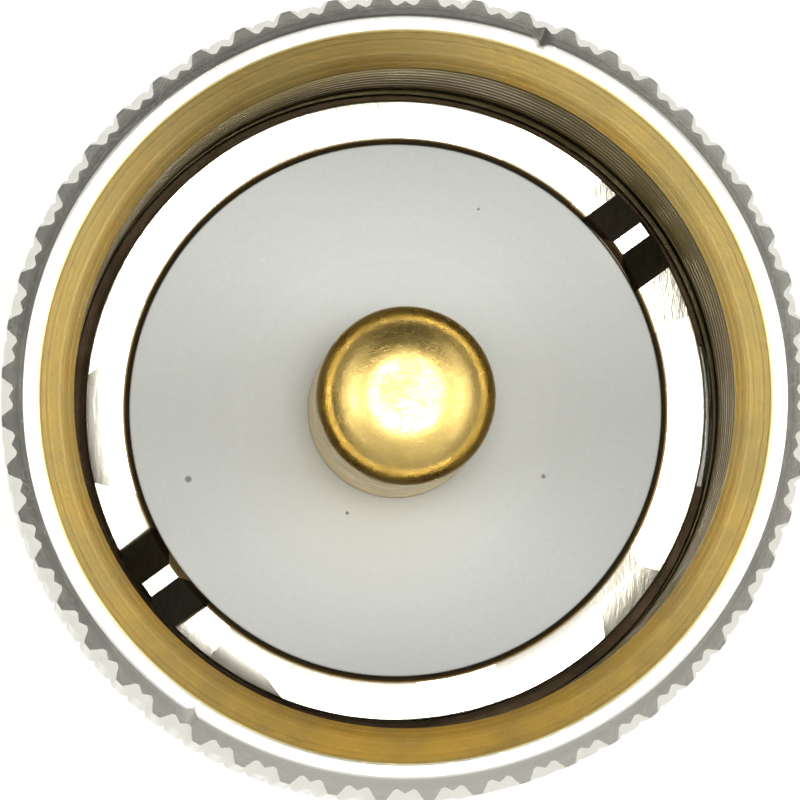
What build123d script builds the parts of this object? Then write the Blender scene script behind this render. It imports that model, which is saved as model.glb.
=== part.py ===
from build123d import *
from math import ceil, cos, pi, radians, sin, tan
import os

# UHF cable plug of the clamp kind, standing on the rear face of its clamp nut.
# Millimetres, +Z along the axis towards the mating side, origin at the centre of the rear face.

# Centre contact
contact_diameter = 4.0
contact_reach = 11.0
nose_flat_diameter = 1.55
waist_depth = 0.2
contact_flange_width = 0.8
contact_flange_length = 1.0
cup_bore_diameter = 2.6
cup_bore_depth = 5.0
cup_wall = 0.5
cup_length = 6.5
cup_hole_diameter = 1.2

# Coupling nut
nut_length = 15.0
thread_minor_diameter = 14.75
thread_relief_depth = 0.6
thread_relief_length = 1.3
mouth_depth = 0.775
rim_width = 0.35
rim_chamfer = 0.5
collar_length = 2.4
lip_length = 0.8
knurl_count = 52
knurl_angle = 30.0
knurl_depth = 0.3
knurl_crest_cut = 0.14
knurl_start = 0.6

# Mating ring of the body, with its teeth
nut_gap = 0.275
ring_wall = 1.0
tooth_count = 2
tooth_angle = 36.0
tooth_base_width = 2.05
tooth_tip_width = 0.36
tooth_height = 0.7
tooth_outer_inset = 0.08
tooth_inner_inset = 0.17

# Snap ring that holds the coupling nut on the body
snap_thickness = 0.9
snap_width = 1.05
snap_proud = 0.55
snap_opening = 3.2
nut_play = 0.8

# Cable, and what the gasket, the washer and the braid clamp leave round it
cable_diameter = 10.3
cable_slack = 0.7
gasket_slack = 0.2
gasket_wall = 0.85
gasket_length = 4.1
washer_thickness = 0.8
wedge_height = 1.0
wedge_width = 0.5
braid_clamp_length = 2.6
braid_cone_length = 1.6
braid_clamp_wall = 0.7
braid_gap = 0.3

# Insulators
insulator_slip = 0.15
face_flange_length = 2.0
face_stand_out = 0.1
pin_seat_depth = 0.15
tail_length = 1.0
rear_flange_width = 0.7
rear_flange_length = 1.5

# Rear sleeve of the body
chamber_step = 1.0
thread_step = 0.3
sleeve_wall = 1.5
sleeve_flat_depth = 0.5
sleeve_flat_length = 6.0
shoulder_wall = 0.2
nut_rear_gap = 0.3
groove_wall = 0.9

# Clamp nut
clamp_head_length = 5.0
clamp_head_setback = 0.2
clamp_head_flat_depth = 0.8
clamp_head_gap = 0.3
clamp_shank_length = 7.0

# Clearances and broken edges
fit = 0.02
thread_fit = 0.03
loose_fit = 0.05
ring_fit = 0.1
ring_side_fit = 0.06
edge_break = 0.3
fine_break = 0.08

# Levels along the axis, from the rear face to the tip of the contact
z_clamp_head = clamp_head_length
z_body_rear = z_clamp_head + clamp_head_gap
z_shank_end = z_clamp_head + clamp_shank_length
z_washer = z_shank_end + washer_thickness
z_gasket = z_washer + gasket_length
z_braid_clamp = z_gasket + braid_clamp_length
z_insulator_step = z_braid_clamp + rear_flange_length
z_shoulder = z_insulator_step + shoulder_wall
z_nut_rear = z_shoulder + nut_rear_gap
z_snap = z_nut_rear + lip_length + ring_side_fit
z_groove = z_snap - loose_fit
z_groove_end = z_snap + snap_thickness + nut_play + loose_fit
z_face_step = z_groove_end + groove_wall
z_face = z_face_step + face_flange_length
z_insulator_face = z_face + face_stand_out
z_pin_seat = z_insulator_face - pin_seat_depth
z_tip = z_face + contact_reach
z_contact_flange = z_face_step - tail_length
z_rear_insulator = z_contact_flange - contact_flange_length
z_cup_end = z_rear_insulator - cup_length
z_nut_front = z_nut_rear + nut_length

# Radii of the mating side, from the coupling thread inwards and outwards
thread_radius = thread_minor_diameter / 2
mouth_radius = thread_radius + mouth_depth
rim_radius = mouth_radius + rim_width
nut_radius = rim_radius + rim_chamfer
ring_radius = thread_radius - nut_gap
ring_bore_radius = ring_radius - ring_wall
face_radius = ring_bore_radius - insulator_slip
snap_outer = ring_radius + snap_proud
snap_inner = snap_outer - snap_width
groove_radius = snap_inner - snap_proud - loose_fit
contact_radius = contact_diameter / 2
waist_radius = contact_radius - waist_depth
cup_radius = cup_bore_diameter / 2 + cup_wall

# Radii of the cable side, from the cable outwards
cable_bore_radius = (cable_diameter + cable_slack) / 2
packing_bore_radius = (cable_diameter + gasket_slack) / 2
packing_radius = packing_bore_radius + gasket_wall
wedge_radius = (packing_bore_radius + packing_radius) / 2
chamber_radius = packing_radius + ring_fit
clamp_thread_radius = chamber_radius + thread_step
sleeve_radius = clamp_thread_radius + sleeve_wall
head_radius = sleeve_radius - clamp_head_setback
rear_flange_radius = chamber_radius - chamber_step
tail_radius = rear_flange_radius - rear_flange_width
braid_cone_radius = rear_flange_radius - braid_gap
braid_bore_radius = braid_cone_radius - braid_clamp_wall

UP_FROM_BASE = (Align.CENTER, Align.CENTER, Align.MIN)


def turned(*points):
    """A solid of revolution about the axis, from the corners (radius, level) of its half section."""
    return revolve(make_face(Plane.XZ * Polyline(*points, close=True)), Axis.Z)


def around(count, first_angle, piece):
    """Copies of a piece at even steps about the axis."""
    return [Rot(Z=first_angle + 360 * turn / count) * piece for turn in range(count)]


def centre_contact():
    """The pin with its rounded nose, a waist held by the front insulator, a flange and a solder cup."""
    nose = contact_radius - nose_flat_diameter / 2
    flange = contact_radius + contact_flange_width
    side = Polyline(
        (0, z_cup_end),
        (cup_radius - fine_break, z_cup_end),
        (cup_radius, z_cup_end + fine_break),
        (cup_radius, z_rear_insulator),
        (flange, z_rear_insulator),
        (flange, z_contact_flange),
        (waist_radius, z_contact_flange),
        (waist_radius, z_pin_seat),
        (contact_radius, z_pin_seat),
        (contact_radius, z_tip - nose),
    )
    curve = RadiusArc((contact_radius, z_tip - nose), (contact_radius - nose, z_tip), -nose)
    back = Polyline((contact_radius - nose, z_tip), (0, z_tip), (0, z_cup_end))
    outline = Wire([*side.edges(), *curve.edges(), *back.edges()])
    contact = revolve(make_face(Plane.XZ * outline), Axis.Z)
    cup = Pos(0, 0, z_cup_end) * Cylinder(cup_bore_diameter / 2, cup_bore_depth, align=UP_FROM_BASE)
    hole = Cylinder(cup_hole_diameter / 2, cup_radius * 2, align=UP_FROM_BASE)
    return contact - cup - Pos(0, 0, z_cup_end + cup_bore_depth / 2) * Rot(Y=90) * hole


def front_insulator():
    """The white insulator whose face fills the mating ring."""
    mouth = contact_radius + fit
    bore = waist_radius + fit
    return turned(
        (bore, z_contact_flange),
        (tail_radius, z_contact_flange),
        (tail_radius, z_face_step),
        (face_radius, z_face_step),
        (face_radius, z_insulator_face - fine_break),
        (face_radius - fine_break, z_insulator_face),
        (mouth, z_insulator_face),
        (mouth, z_pin_seat),
        (bore, z_pin_seat),
    )


def rear_insulator():
    """The flanged bush behind the contact's flange."""
    bore = cup_radius + loose_fit
    return turned(
        (bore, z_braid_clamp),
        (rear_flange_radius, z_braid_clamp),
        (rear_flange_radius, z_insulator_step),
        (tail_radius, z_insulator_step),
        (tail_radius, z_rear_insulator),
        (bore, z_rear_insulator),
    )


def body_blank():
    """The turned body: mating ring, groove for the snap ring, shoulder and rear sleeve."""
    tail_bore = tail_radius + ring_fit
    flange_bore = rear_flange_radius + loose_fit
    thread = clamp_thread_radius + thread_fit
    return turned(
        (thread + edge_break, z_body_rear),
        (sleeve_radius - edge_break, z_body_rear),
        (sleeve_radius, z_body_rear + edge_break),
        (sleeve_radius, z_shoulder - edge_break),
        (sleeve_radius - edge_break, z_shoulder),
        (ring_radius, z_shoulder),
        (ring_radius, z_groove),
        (groove_radius, z_groove),
        (groove_radius, z_groove_end),
        (ring_radius, z_groove_end),
        (ring_radius, z_face - fine_break),
        (ring_radius - fine_break, z_face),
        (ring_bore_radius, z_face),
        (ring_bore_radius, z_face_step),
        (tail_bore, z_face_step),
        (tail_bore, z_insulator_step),
        (flange_bore, z_insulator_step),
        (flange_bore, z_braid_clamp),
        (chamber_radius, z_braid_clamp - (chamber_radius - flange_bore)),
        (chamber_radius, z_washer),
        (thread, z_washer - (thread - chamber_radius)),
        (thread, z_body_rear + edge_break),
    )


def tooth():
    """One tooth of the mating ring: a wedge with sloping flanks and ends that reach a narrow tip."""
    middle = (ring_bore_radius + ring_radius) / 2
    tip_length = ring_wall - tooth_inner_inset - tooth_outer_inset
    tip_middle = middle + (tooth_inner_inset - tooth_outer_inset) / 2
    root = Pos(middle, 0, z_face) * Rectangle(ring_wall * 2, tooth_base_width)
    tip = Pos(tip_middle, 0, z_face + tooth_height) * Rectangle(tip_length, tooth_tip_width)
    foot = Pos(middle, 0, z_face - fine_break) * Rectangle(ring_wall * 2, tooth_base_width)
    return loft([root, tip]) + loft([foot, root])


def wrench_flats():
    """The two blocks that cut a pair of wrench flats across the rear sleeve."""
    middle = (z_body_rear + z_shoulder) / 2
    outwards = (Align.CENTER, Align.MIN, Align.CENTER)
    block = Box(sleeve_radius * 2, sleeve_radius, sleeve_flat_length, align=outwards)
    return around(2, 0, Pos(0, sleeve_radius - sleeve_flat_depth, middle) * block)


def body():
    """The body with its two teeth and the wrench flats on the rear sleeve."""
    ring = turned(
        (ring_bore_radius, z_face_step),
        (ring_radius, z_face_step),
        (ring_radius, z_face + tooth_height),
        (ring_bore_radius, z_face + tooth_height),
    )
    teeth = [wedge & ring for wedge in around(tooth_count, tooth_angle, tooth())]
    return body_blank() + teeth - wrench_flats()


def knurl_cell(column, z, step, upper, lower):
    """The facets of one diamond, flanks and flat top, and its corners at the middle level."""
    half = pi / knurl_count
    root = nut_radius - knurl_depth
    apex_radius = nut_radius + knurl_crest_cut
    radial = Vector(cos(column * half), sin(column * half), 0)
    apex = radial * apex_radius + Vector(0, 0, z)

    def corner(side, height):
        angle = (column + side) * half
        return Vector(root * cos(angle), root * sin(angle), z + height)

    def crest_point(point):
        share = knurl_crest_cut / (apex_radius - point.dot(radial))
        return apex + (point - apex) * share

    corners = [corner(-1, 0), corner(0, -step), corner(1, 0), corner(0, step)]
    crests = [crest_point(point) for point in corners]
    wanted = [lower, lower, upper, upper]
    facets = []
    for first in range(4):
        second = (first + 1) % 4
        if wanted[first]:
            facets.append([corners[first], corners[second], crests[second], crests[first]])
    top = list(crests)
    if not upper:
        top.remove(crests[3])
    if not lower:
        top.remove(crests[1])
    facets.append(top)
    return facets, [corners[0], crests[0], crests[2]]


def knurled_blank():
    """A bar knurled from above the rim to below the collar's top, and plain from there down."""
    step = pi * nut_radius / knurl_count / tan(radians(knurl_angle))
    top = z_nut_front - knurl_start + step
    rows = ceil((top - z_nut_rear - collar_length) / step)
    polygons = []
    sections = {0: [], rows: []}
    for row in range(rows + 1):
        for turn in range(knurl_count):
            z = top - row * step
            facets, section = knurl_cell(2 * turn + row % 2, z, step, row > 0, row < rows)
            polygons.extend(facets)
            if row in sections:
                sections[row].extend(section)
    base = sections[rows]
    floor = [Vector(point.X, point.Y, z_nut_rear) for point in base]
    for first in range(len(base)):
        second = (first + 1) % len(base)
        polygons.append([base[first], base[second], floor[second], floor[first]])
    polygons.append(floor)
    polygons.append(sections[0])
    return Solid(Shell([Face(Wire.make_polygon(points)) for points in polygons]))


def coupling_nut():
    """The knurled nut: chamfered mouth, plain bore at the thread's minor size, relief and ring groove."""
    relief = thread_radius + thread_relief_depth
    groove = snap_outer + ring_fit
    clear = nut_radius + knurl_depth
    bevel = clear - rim_radius
    z_collar = z_nut_rear + collar_length
    z_slot = z_snap - ring_side_fit
    z_slot_end = z_snap + snap_thickness + ring_side_fit
    z_relief = z_slot_end + lip_length
    z_thread = z_relief + thread_relief_length
    envelope = turned(
        (thread_radius, z_nut_rear + fine_break),
        (thread_radius + fine_break, z_nut_rear),
        (rim_radius - edge_break, z_nut_rear),
        (rim_radius, z_nut_rear + edge_break),
        (rim_radius, z_collar),
        (clear, z_collar + bevel),
        (clear, z_nut_front - bevel),
        (rim_radius, z_nut_front),
        (mouth_radius, z_nut_front),
        (thread_radius, z_nut_front - mouth_depth),
        (thread_radius, z_thread + thread_relief_depth),
        (relief, z_thread),
        (relief, z_relief),
        (thread_radius, z_relief),
        (thread_radius, z_slot_end),
        (groove, z_slot_end),
        (groove, z_slot),
        (thread_radius, z_slot),
    )
    return knurled_blank() & envelope


def snap_ring():
    """The split spring ring, low in the body's groove and close in the nut's."""
    ring = turned(
        (snap_inner, z_snap),
        (snap_outer, z_snap),
        (snap_outer, z_snap + snap_thickness),
        (snap_inner, z_snap + snap_thickness),
    )
    one_side = (Align.MIN, Align.CENTER, Align.MIN)
    opening = Box(snap_outer + ring_fit, snap_opening, snap_thickness, align=one_side)
    return ring - Pos(0, 0, z_snap) * opening


def braid_clamp():
    """The cone that the cable's braid folds over, with a wedge edge towards the gasket."""
    return turned(
        (braid_bore_radius, z_gasket),
        (wedge_radius - wedge_width / 2, z_gasket),
        (wedge_radius, z_gasket - wedge_height),
        (wedge_radius + wedge_width / 2, z_gasket),
        (packing_radius, z_gasket),
        (packing_radius, z_braid_clamp - braid_cone_length),
        (braid_cone_radius, z_braid_clamp),
        (braid_bore_radius, z_braid_clamp),
    )


def gasket():
    """The rubber ring with a V groove that takes the braid clamp's wedge."""
    return turned(
        (packing_bore_radius, z_washer),
        (packing_radius, z_washer),
        (packing_radius, z_gasket),
        (wedge_radius + wedge_width / 2 + loose_fit, z_gasket),
        (wedge_radius, z_gasket - wedge_height - loose_fit),
        (wedge_radius - wedge_width / 2 - loose_fit, z_gasket),
        (packing_bore_radius, z_gasket),
    )


def washer():
    """The plain washer between the gasket and the clamp nut."""
    return turned(
        (packing_bore_radius, z_shank_end),
        (packing_radius, z_shank_end),
        (packing_radius, z_washer),
        (packing_bore_radius, z_washer),
    )


def clamp_nut():
    """The hexagon-headed nut that closes the rear end, bored for the cable."""
    flat = head_radius - clamp_head_flat_depth
    slope = clamp_head_flat_depth / 2
    shape = turned(
        (cable_bore_radius + edge_break, 0),
        (flat, 0),
        (head_radius, slope),
        (head_radius, z_clamp_head - slope),
        (flat, z_clamp_head),
        (clamp_thread_radius, z_clamp_head),
        (clamp_thread_radius, z_shank_end - edge_break),
        (clamp_thread_radius - edge_break, z_shank_end),
        (cable_bore_radius, z_shank_end),
        (cable_bore_radius, edge_break),
    )
    return shape & extrude(RegularPolygon(flat, 6, major_radius=False), z_shank_end)


pieces = {
    "centre_contact": centre_contact,
    "front_insulator": front_insulator,
    "rear_insulator": rear_insulator,
    "body": body,
    "coupling_nut": coupling_nut,
    "snap_ring": snap_ring,
    "braid_clamp": braid_clamp,
    "gasket": gasket,
    "washer": washer,
    "clamp_nut": clamp_nut,
}

os.makedirs("parts", exist_ok=True)
for name, make in pieces.items():
    export_step(make(), f"parts/{name}.step")
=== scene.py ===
import logging
from collections.abc import Callable, Sequence
from dataclasses import dataclass
from enum import Enum
from math import acos, asin, cos, exp, pi, radians, sin, tan

import bmesh
import bpy
from mathutils import Matrix, Vector


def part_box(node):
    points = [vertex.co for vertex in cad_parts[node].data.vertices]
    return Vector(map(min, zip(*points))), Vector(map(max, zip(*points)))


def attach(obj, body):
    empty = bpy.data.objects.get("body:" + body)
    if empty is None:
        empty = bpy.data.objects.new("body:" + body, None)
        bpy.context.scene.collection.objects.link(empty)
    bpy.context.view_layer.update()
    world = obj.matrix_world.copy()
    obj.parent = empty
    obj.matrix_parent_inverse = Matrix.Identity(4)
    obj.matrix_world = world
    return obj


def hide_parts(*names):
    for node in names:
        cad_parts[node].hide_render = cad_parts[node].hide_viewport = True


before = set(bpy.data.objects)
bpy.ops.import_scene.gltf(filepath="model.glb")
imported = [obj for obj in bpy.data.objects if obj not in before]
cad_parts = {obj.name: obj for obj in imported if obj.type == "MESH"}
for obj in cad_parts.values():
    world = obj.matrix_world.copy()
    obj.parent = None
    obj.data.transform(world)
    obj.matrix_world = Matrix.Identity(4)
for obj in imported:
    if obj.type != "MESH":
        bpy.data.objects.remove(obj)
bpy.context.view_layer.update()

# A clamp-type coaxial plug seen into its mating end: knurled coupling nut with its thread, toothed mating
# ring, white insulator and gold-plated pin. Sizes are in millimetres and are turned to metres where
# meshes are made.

SOLID_BOXES = {node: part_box(node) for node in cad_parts}
MM = 0.001
WELD = 2e-7
SLIVER = 1e-8
log = logging.getLogger("cable_plug")

Point = tuple[float, float]
Profile = list[Point]
Thing = bpy.types.Object
Tree = bpy.types.NodeTree
Node = bpy.types.Node
Socket = bpy.types.NodeSocket


class Body(Enum):
    """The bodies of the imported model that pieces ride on."""

    PLUG = "plug"
    RETAINER = "retainer"
    NUT = "nut"


class Slot(Enum):
    """The record's material slots."""

    NICKEL = "nickel_plate"
    GOLD = "gold_plate"
    FLUOROPOLYMER = "white_fluoropolymer"
    BRONZE = "spring_bronze"
    BRASS = "bare_brass"
    RUBBER = "black_rubber"


class Carve(Enum):
    """What one closed mesh does to another."""

    ADD = "UNION"
    CUT = "DIFFERENCE"
    KEEP_COMMON = "INTERSECT"


def solid_low(node: str) -> float:
    """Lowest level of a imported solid, in millimetres."""
    return SOLID_BOXES[node][0].z / MM


def solid_high(node: str) -> float:
    """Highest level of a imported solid, in millimetres."""
    return SOLID_BOXES[node][1].z / MM


def solid_reach(node: str) -> float:
    """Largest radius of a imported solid, in millimetres."""
    return SOLID_BOXES[node][1].y / MM


def direction(azimuth: float, tilt: float) -> Vector:
    """The way that lies at an azimuth and a tilt from straight up, both in degrees."""
    turn, lean = radians(azimuth), radians(tilt)
    return Vector((sin(lean) * cos(turn), sin(lean) * sin(turn), cos(lean)))


def linear(colour: str) -> tuple[float, float, float, float]:
    """Turn an sRGB hex colour to the linear values that shaders take.

    Args:
        colour: Six hexadecimal digits.

    Returns:
        Red, green, blue and an alpha of one.
    """
    shares = [int(colour[place:place + 2], 16) / 255 for place in (0, 2, 4)]
    red, green, blue = [s / 12.92 if s <= 0.04045 else ((s + 0.055) / 1.055) ** 2.4 for s in shares]
    return red, green, blue, 1.0


def add_node(
    tree: Tree,
    kind: str,
    inputs: dict[str | int, object] | Sequence[object] = (),
    **settings: object,
) -> Node:
    """Add a shader node with its settings, values and links.

    Args:
        tree: The node tree that takes the node.
        kind: Blender's name of the node's type.
        inputs: For each input, by name or number or in their order: a value, the hex digits of a colour,
            the output to link to it, or a node whose first output is linked to it.
        **settings: Properties of the node itself.

    Returns:
        The new node.
    """
    node = tree.nodes.new(kind)
    for name, value in settings.items():
        setattr(node, name, value)
    named = inputs if isinstance(inputs, dict) else dict(enumerate(inputs))
    for name, value in named.items():
        if isinstance(value, Node):
            value = value.outputs[0]
        if isinstance(value, Socket):
            tree.links.new(value, node.inputs[name])
        else:
            node.inputs[name].default_value = linear(value) if isinstance(value, str) else value
    return node


def eased(profile: Profile, size: float, closed: bool = True, steps: int = 4) -> Profile:
    """Round the corners of a half section, so that its edges catch light.

    Args:
        profile: Corners as radius and level.
        size: How far from a corner its rounding starts.
        closed: Whether the last corner joins the first.
        steps: Straight runs in each rounding.

    Returns:
        The same section with a small curve for each corner off the axis, always with as many points.
    """
    on_axis, longest_share = 1e-6, 0.4
    soft = []
    for index, corner in enumerate(profile):
        here = Vector(corner)
        ends_here = not closed and index in (0, len(profile) - 1)
        if ends_here or here.x < on_axis:
            soft.append(corner)
            continue
        back = Vector(profile[index - 1]) - here
        ahead = Vector(profile[(index + 1) % len(profile)]) - here
        reach = min(size, back.length * longest_share, ahead.length * longest_share)
        start = here + back.normalized() * reach
        end = here + ahead.normalized() * reach
        for step in range(steps + 1):
            share = step / steps
            point = start * (1 - share) ** 2 + here * 2 * share * (1 - share) + end * share ** 2
            soft.append((point.x, point.y))
    return soft


def full_turn(count: int, extra: Sequence[float] = ()) -> list[float]:
    """Even angles from zero to a full turn, both ends kept, with some extra ones among them."""
    even = [2 * pi * step / count for step in range(count + 1)]
    return sorted(even + [angle % (2 * pi) for angle in extra])


def on_turn(radius: float, level: float, angle: float) -> tuple[float, float, float]:
    """A point of a turned surface, in metres."""
    return radius * cos(angle) * MM, radius * sin(angle) * MM, level * MM


def add_sweep(
    mesh: bmesh.types.BMesh,
    section: Callable[[float], Profile],
    angles: Sequence[float],
    closed: bool = True,
    material: int = 0,
) -> list[list[bmesh.types.BMVert]]:
    """Add the skin that a half section leaves as it turns about the axis.

    Args:
        mesh: The mesh that takes the skin.
        section: Gives the half section at an angle, always with as many points.
        angles: The angles at which it is taken.
        closed: Whether the section's last point joins its first.
        material: Number of the material that the skin takes.

    Returns:
        One column of vertices for each angle.
    """
    columns = []
    for angle in angles:
        columns.append([mesh.verts.new(on_turn(radius, level, angle)) for radius, level in section(angle)])
    rows = len(columns[0])
    for left, right in zip(columns, columns[1:]):
        for row in range(rows if closed else rows - 1):
            after = (row + 1) % rows
            face = mesh.faces.new((left[row], right[row], right[after], left[after]))
            face.material_index = material
    return columns


def as_object(mesh: bmesh.types.BMesh, name: str) -> Thing:
    """Weld a mesh where its vertices meet, turn its faces outwards and put it in the scene.

    Args:
        mesh: The mesh, which is freed.
        name: Name of the new object.

    Returns:
        The object.
    """
    bmesh.ops.remove_doubles(mesh, verts=mesh.verts, dist=WELD)
    bmesh.ops.dissolve_degenerate(mesh, dist=SLIVER, edges=mesh.edges)
    bmesh.ops.recalc_face_normals(mesh, faces=mesh.faces)
    data = bpy.data.meshes.new(name)
    mesh.to_mesh(data)
    mesh.free()
    thing = bpy.data.objects.new(name, data)
    bpy.context.scene.collection.objects.link(thing)
    return thing


def carve(target: Thing, tool: Thing, how: Carve) -> None:
    """Change one closed mesh by another, which is used up.

    Args:
        target: The mesh to change.
        tool: The mesh that changes it.
        how: Whether the tool is added, cut away, or the common part kept.
    """
    modifier = target.modifiers.new("carve", "BOOLEAN")
    modifier.object = tool
    modifier.operation = how.value
    modifier.solver = "EXACT"
    evaluated = target.evaluated_get(bpy.context.evaluated_depsgraph_get())
    data = bpy.data.meshes.new_from_object(evaluated)
    target.modifiers.remove(modifier)
    target.data = data
    bpy.data.objects.remove(tool)


@dataclass(frozen=True)
class Finish:
    """What a surface is made of and how it was made. Scales of patterns are in lumps a millimetre."""

    name: str
    colour: str
    roughness: float

    def look(self, tree: Tree) -> dict[str, object]:
        """Add the finish's own nodes to a tree and return what the surface's shader takes."""
        raise NotImplementedError

    def material(self) -> bpy.types.Material:
        """Make the finish's material, the first time that it is asked for.

        Returns:
            The material.
        """
        known = bpy.data.materials.get(self.name)
        if known:
            return known
        made = bpy.data.materials.new(self.name)
        made.use_nodes = True
        tree = made.node_tree
        tree.nodes.clear()
        surface = add_node(tree, "ShaderNodeBsdfPrincipled", self.look(tree))
        add_node(tree, "ShaderNodeOutputMaterial", {"Surface": surface})
        return made

    def millimetres(self, tree: Tree) -> Node:
        """The place on the piece, in millimetres."""
        place = add_node(tree, "ShaderNodeTexCoord").outputs["Object"]
        return add_node(tree, "ShaderNodeVectorMath", (place, (1 / MM,) * 3), operation="MULTIPLY")

    def lathe_lines(self, tree: Tree, place: Node, pitch: float, wander: float) -> Node:
        """Add fine rings round the axis, as a tool leaves them on faces, cones and cylinders alike.

        Args:
            tree: The material's node tree.
            place: The place on the piece, in millimetres.
            pitch: Distance from ring to ring, in millimetres.
            wander: How far the rings leave a true circle, in millimetres.

        Returns:
            Their height, from zero to one.
        """
        flat = add_node(tree, "ShaderNodeVectorMath", (place, (1.0, 1.0, 0.0)), operation="MULTIPLY")
        radius = add_node(tree, "ShaderNodeVectorMath", (flat,), operation="LENGTH").outputs["Value"]
        level = add_node(tree, "ShaderNodeSeparateXYZ", (place,)).outputs["Z"]
        drift = add_node(tree, "ShaderNodeTexNoise", {"Vector": place, "Scale": 0.4, "Detail": 2.0})
        shift = add_node(tree, "ShaderNodeMath", (drift, wander), operation="MULTIPLY")
        moved = add_node(tree, "ShaderNodeMath", (radius, shift), operation="ADD")
        raised = add_node(tree, "ShaderNodeMath", (level, shift), operation="ADD")
        turned = add_node(tree, "ShaderNodeCombineXYZ", {0: moved, 2: raised})
        inputs = {"Vector": turned, "Scale": 1 / pitch, "Detail": 3.0, "Roughness": 0.6}
        return add_node(tree, "ShaderNodeTexNoise", inputs)


@dataclass(frozen=True)
class TurnedMetal(Finish):
    """Metal cut on a lathe, bare or plated: fine rings, a few handling scratches, some tarnish."""

    tarnish: str
    line_pitch: float
    line_depth: float
    tarnish_share: float = 0.35
    scratch_depth: float = 0.0015
    scratch_width: float = 0.012
    vein_scale: float = 1.3
    cloud_size: float = 1.8
    cloud_band: Point = (0.38, 0.68)
    cloud_dulls: float = 0.25
    grain_scale: float = 7.0
    grain_depth: float = 0.0006

    def tint(self, tree: Tree, place: Node, clean: Socket) -> Socket:
        """The metal's colour with anything painted over it, which is nothing here."""
        return clean

    def look(self, tree: Tree) -> dict[str, object]:
        """Lay rings in the relief and the gloss, clouds of tarnish and thin scratches.

        Args:
            tree: The material's node tree.

        Returns:
            The shader's inputs.
        """
        place = self.millimetres(tree)
        lines = self.lathe_lines(tree, place, self.line_pitch, self.line_pitch * 0.5)
        cloud = {"Vector": place, "Scale": 1 / self.cloud_size, "Detail": 6.0, "Roughness": 0.62}
        clouds = add_node(tree, "ShaderNodeTexNoise", cloud)
        cloudy = add_node(tree, "ShaderNodeMapRange", (clouds, *self.cloud_band, 0.0, self.tarnish_share))
        metal = {0: cloudy, 6: self.colour, 7: self.tarnish}
        colour = add_node(tree, "ShaderNodeMix", metal, data_type="RGBA").outputs[2]
        vein = {"Vector": place, "Scale": self.vein_scale, "Detail": 3.0, "Distortion": 2.5}
        veins = add_node(tree, "ShaderNodeTexNoise", vein)
        beside = add_node(tree, "ShaderNodeMath", (veins, 0.5), operation="SUBTRACT")
        off_vein = add_node(tree, "ShaderNodeMath", (beside,), operation="ABSOLUTE")
        scratch = add_node(tree, "ShaderNodeMapRange", (off_vein, 0.0, self.scratch_width, 0.0, 1.0))
        smooth, rough = self.roughness * 0.8, self.roughness * 1.2
        gloss = add_node(tree, "ShaderNodeMapRange", (lines, 0.3, 0.7, smooth, rough))
        dull = add_node(tree, "ShaderNodeMath", (cloudy, self.cloud_dulls, gloss), operation="MULTIPLY_ADD")
        grain = {"Vector": place, "Scale": self.grain_scale, "Detail": 3.0, "Roughness": 0.6}
        normal = None
        for height, depth in (
            (lines, self.line_depth),
            (scratch, self.scratch_depth),
            (add_node(tree, "ShaderNodeTexNoise", grain), self.grain_depth),
        ):
            relief = {"Strength": 1.0, "Distance": depth * MM, "Height": height}
            normal = add_node(tree, "ShaderNodeBump", relief | ({"Normal": normal} if normal else {}))
        tinted = self.tint(tree, place, colour)
        return {"Base Color": tinted, "Metallic": 1.0, "Roughness": dull, "Normal": normal}


@dataclass(frozen=True)
class ThreadedBrass(TurnedMetal):
    """Brass cut by a threading tool, with painted shade deeper in the thread and at one side of the mouth.
    """

    # Painted shade deeper in the thread: where it starts, its colour, strength and fade length.
    shade_start_level: float = 0.0
    depth_shade: str = "000000"
    depth_shade_share: float = 0.6
    depth_shade_edge: float = 0.6
    # Painted shade at one side of the mouth: its colour, middle, reach and strength.
    side_shade: str = "A09263"
    side_shade_place: Point = (-2.4, 7.5)
    side_shade_reach: Point = (1.5, 6.0)
    side_shade_share: float = 0.75

    def tint(self, tree: Tree, place: Node, clean: Socket) -> Socket:
        """Paint shade on the brass below the level where the thread starts, and paint shade at one side.

        Args:
            tree: The material's node tree.
            place: The place on the piece, in millimetres.
            clean: The colour of the clean brass.

        Returns:
            The colour with its painted shade, deep in and at one side.
        """
        start = self.shade_start_level
        level = add_node(tree, "ShaderNodeSeparateXYZ", (place,)).outputs["Z"]
        # Painted shade: the brass goes towards near black below where the thread starts.
        deep_shade_range = (level, start - self.depth_shade_edge, start, self.depth_shade_share, 0.0)
        # Painted shade at one side of the mouth, fading with distance from a point there.
        middle = (*self.side_shade_place, start)
        away = add_node(tree, "ShaderNodeVectorMath", (place, middle), operation="DISTANCE")
        side_shade_range = (away.outputs["Value"], *self.side_shade_reach, self.side_shade_share, 0.0)
        colour = clean
        for reach, over in ((deep_shade_range, self.depth_shade), (side_shade_range, self.side_shade)):
            inputs = {0: add_node(tree, "ShaderNodeMapRange", reach), 6: colour, 7: over}
            colour = add_node(tree, "ShaderNodeMix", inputs, data_type="RGBA").outputs[2]
        return colour


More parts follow.
